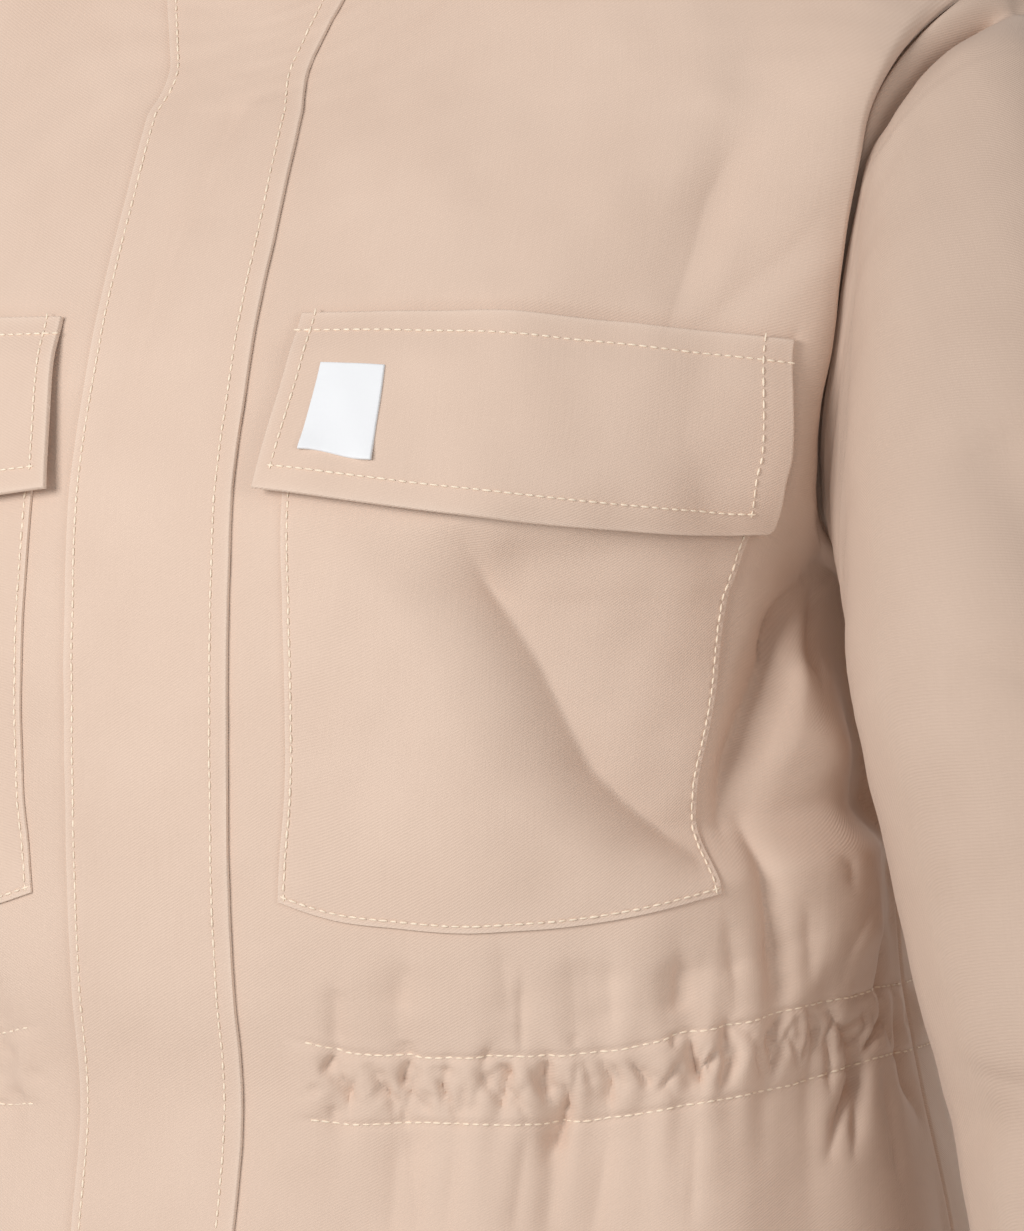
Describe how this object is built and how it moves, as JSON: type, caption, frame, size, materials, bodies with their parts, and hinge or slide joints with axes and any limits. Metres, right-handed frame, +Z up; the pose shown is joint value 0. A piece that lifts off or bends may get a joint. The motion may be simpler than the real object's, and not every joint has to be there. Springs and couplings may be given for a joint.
{
  "type": "hooded parka",
  "caption": "Hooded parka, hollow as worn, with a covered front placket, flapped patch chest pockets, a gathered waist channel, long sleeves and a raised hood.",
  "frame": {"origin": "midpoint between the two high shoulder points, at the base of the neck, where the wearer's shoulders hold the garment up", "axes": "+Z up, the front faces -Y, +X towards the wearer's left sleeve"},
  "size_m": [0.785, 0.3122, 1.1248],
  "materials": {
    "shell": "beige cotton twill, matte",
    "label": "white woven label, bare"
  },
  "bodies": {
    "root": {"front_left": "shell", "front_right": "shell", "back": "shell", "sleeve_left": "shell", "sleeve_right": "shell", "hood_left": "shell", "hood_right": "shell", "hood_centre": "shell", "placket": "shell", "pocket_left": "shell", "pocket_right": "shell", "flap_left": "shell", "flap_right": "shell", "label": "label"}
  },
  "joints": []
}
